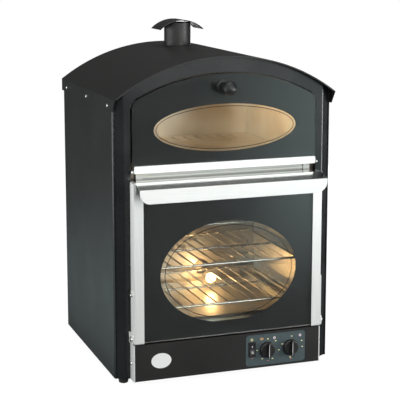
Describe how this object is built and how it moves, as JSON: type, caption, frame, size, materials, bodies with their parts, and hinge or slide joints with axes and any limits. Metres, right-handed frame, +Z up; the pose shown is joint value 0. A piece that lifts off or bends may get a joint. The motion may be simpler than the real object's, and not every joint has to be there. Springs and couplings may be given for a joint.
{
  "type": "baked potato oven",
  "caption": "Counter-top potato oven: glazed drop-down oven door, arched lit display above it, curved roof with a capped flue, dials and a rocker.",
  "frame": {"origin": "on the counter, under the middle of the whole oven's outline", "axes": "+X to the viewer's right when facing the doors, +Y to the back, +Z up"},
  "size_m": [0.5186, 0.5224, 0.7815],
  "materials": {
    "body_enamel": "satin black stove enamel",
    "frame_enamel": "glossy blue-black enamel",
    "galvanised": "dull galvanised sheet",
    "stainless": "brushed along its length",
    "liner_steel": "bright stainless liner",
    "chrome_wire": "bright plated wire",
    "screw_steel": "plated",
    "door_pane": "clear toughened pane",
    "pane_print": "black ceramic print",
    "black_plastic": "black phenolic",
    "dark_plastic": "matt black plastic",
    "white_enamel": "white",
    "label_film": "slate grey film",
    "foot_rubber": "black rubber",
    "gasket_braid": "woven heat seal",
    "mineral_wool": "mineral wool",
    "cast_motor": "cast housing",
    "element_sheath": "oxidised sheath",
    "lamp_glass": "warm lit capsule"
  },
  "bodies": {
    "cabinet": {"base_tray": "galvanised", "feet": "foot_rubber", "left_side_panel": "body_enamel", "right_side_panel": "body_enamel", "back_panel": "galvanised", "front_frame": "frame_enamel", "roof_panel": "body_enamel", "panel_screws": "screw_steel", "flue_pipe": "body_enamel", "cap_straps": "body_enamel", "flue_cap": "body_enamel", "face_plate": "liner_steel", "display_wrap": "liner_steel", "display_back": "liner_steel", "display_deck": "liner_steel", "oven_wrap": "liner_steel", "oven_floor": "liner_steel", "oven_back": "liner_steel", "fan_baffle": "liner_steel", "side_insulation": "mineral_wool", "top_insulation": "mineral_wool", "door_seals": "gasket_braid", "rack_runners": "chrome_wire", "fan_motor": "cast_motor", "heating_element": "element_sheath", "lamp_holders": "white_enamel", "lamp_bulbs": "lamp_glass", "lintel": "stainless", "upper_hinge_pins": "screw_steel", "door_catches": "dark_plastic", "hinge_brackets": "stainless", "pivot_bolts": "screw_steel", "control_panel": "body_enamel", "control_cheeks": "stainless", "label_plate": "label_film", "badge": "white_enamel", "switch_housing": "black_plastic", "dial_bodies": "dark_plastic", "cable_gland": "dark_plastic"},
    "lower_door": {"left_door_channel": "stainless", "right_door_channel": "stainless", "lower_glass": "door_pane", "lower_glass_print": "pane_print", "inner_door_pan": "liner_steel", "inner_glass": "door_pane", "door_handle": "stainless", "hinge_arms": "stainless", "arm_bolts": "screw_steel"},
    "upper_door": {"upper_glass": "door_pane", "upper_glass_print": "pane_print", "upper_door_rail": "stainless", "upper_knob": "black_plastic"},
    "lower_shelf": {"lower_rack": "chrome_wire"},
    "middle_shelf": {"middle_rack": "chrome_wire"},
    "upper_shelf": {"upper_rack": "chrome_wire"},
    "tray": {"crumb_tray": "liner_steel"},
    "thermostat": {"thermostat_knob": "black_plastic"},
    "timer": {"timer_knob": "black_plastic"},
    "rocker": {"power_rocker": "black_plastic"},
    "fan": {"fan_impeller": "liner_steel"}
  },
  "joints": [
    {"name": "lower_door_hinge", "type": "hinge", "parent": "cabinet", "child": "lower_door", "pos_m": [0, -0.21775, 0.111], "axis": [1, 0, 0], "range_deg": [0, 90]},
    {"name": "upper_door_hinge", "type": "hinge", "parent": "cabinet", "child": "upper_door", "pos_m": [0, -0.20075, 0.4765], "axis": [1, 0, 0], "range_deg": [0, 90]},
    {"name": "lower_rack_slide", "type": "slide", "parent": "cabinet", "child": "lower_shelf", "axis": [0, -1, 0], "range_m": [0, 0.012]},
    {"name": "middle_rack_slide", "type": "slide", "parent": "cabinet", "child": "middle_shelf", "axis": [0, -1, 0], "range_m": [0, 0.012]},
    {"name": "upper_rack_slide", "type": "slide", "parent": "cabinet", "child": "upper_shelf", "axis": [0, -1, 0], "range_m": [0, 0.012]},
    {"name": "crumb_tray_slide", "type": "slide", "parent": "cabinet", "child": "tray", "axis": [0, -1, 0], "range_m": [0, 0.012]},
    {"name": "thermostat_turn", "type": "hinge", "parent": "cabinet", "child": "thermostat", "pos_m": [0.091, -0.22375, 0.056], "axis": [0, 1, 0], "range_deg": [0, 270]},
    {"name": "timer_turn", "type": "hinge", "parent": "cabinet", "child": "timer", "pos_m": [0.148, -0.22375, 0.056], "axis": [0, 1, 0], "range_deg": [0, 300]},
    {"name": "rocker_tip", "type": "hinge", "parent": "cabinet", "child": "rocker", "pos_m": [0.055, -0.22225, 0.0585], "axis": [1, 0, 0], "range_deg": [0, 12]},
    {"name": "fan_spin", "type": "hinge", "parent": "cabinet", "child": "fan", "pos_m": [0, 0.14545, 0.281], "axis": [0, 1, 0], "continuous": true}
  ]
}
